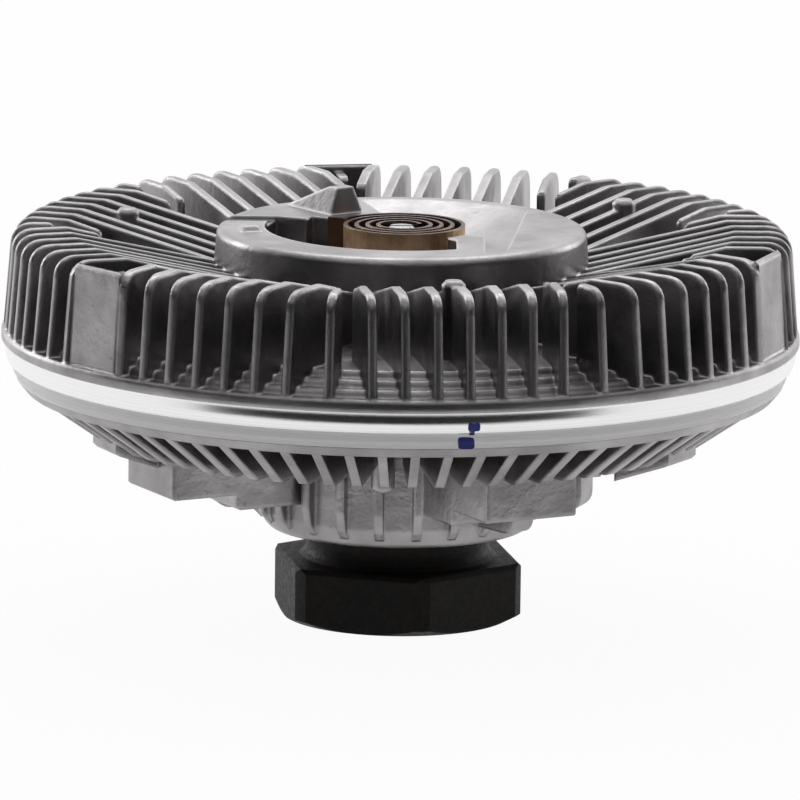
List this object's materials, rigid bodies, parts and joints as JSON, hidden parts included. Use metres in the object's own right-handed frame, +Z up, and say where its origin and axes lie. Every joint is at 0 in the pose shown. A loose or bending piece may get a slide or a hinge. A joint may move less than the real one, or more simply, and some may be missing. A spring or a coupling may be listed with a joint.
{
  "type": "viscous fan clutch",
  "caption": "Viscous fan clutch with a finned cast cover and housing on a black hexagon drive shaft, and a bimetal coil in its hub that turns the fluid valve.",
  "frame": {"origin": "middle of the hexagon's lower face, on the axis, where the clutch stands", "axes": "+Z up along the axis, from the drive thread to the bimetal coil; the picture looks along +Y"},
  "size_m": [0.198, 0.198, 0.1041],
  "materials": {
    "black_steel": "matt black phosphate",
    "bright_steel": "ground",
    "cast_aluminium": "die cast, rim turned bright",
    "bimetal": "rolled strip, satin",
    "seal_rubber": "matt",
    "bronze": "sintered"
  },
  "bodies": {
    "drive": {"drive_shaft": "black_steel", "bearing_inner_ring": "bright_steel", "rotor": "cast_aluminium", "rotor_retaining_ring": "bright_steel"},
    "ball_set": {"bearing_balls": "bright_steel", "bearing_cage": "bronze"},
    "clutch_body": {"rear_housing": "cast_aluminium", "front_cover": "cast_aluminium", "cover_seal": "seal_rubber", "bearing_outer_ring": "bright_steel", "bearing_circlip": "bright_steel", "bearing_lower_shield": "seal_rubber", "bearing_upper_shield": "seal_rubber", "valve_plate": "bright_steel", "valve_plate_screws": "bright_steel", "valve_bush": "bronze", "bimetal_coil": "bimetal"},
    "valve": {"valve_shaft": "bright_steel", "valve_arm": "bright_steel", "valve_shaft_seal": "seal_rubber", "valve_shaft_clip": "bright_steel"}
  },
  "joints": [
    {"name": "clutch_spin", "type": "hinge", "parent": "drive", "child": "clutch_body", "pos_m": [0, 0, 0.0365], "axis": [0, 0, 1], "continuous": true},
    {"name": "ball_orbit", "type": "hinge", "parent": "drive", "child": "ball_set", "pos_m": [0, 0, 0.0365], "axis": [0, 0, 1], "continuous": true},
    {"name": "valve_turn", "type": "hinge", "parent": "clutch_body", "child": "valve", "pos_m": [0, 0, 0.0865], "axis": [0, 0, 1], "range_deg": [0, 60]}
  ],
  "couplings": [
    {"joint": "ball_orbit", "follows": "clutch_spin", "ratio": 0.593}
  ]
}
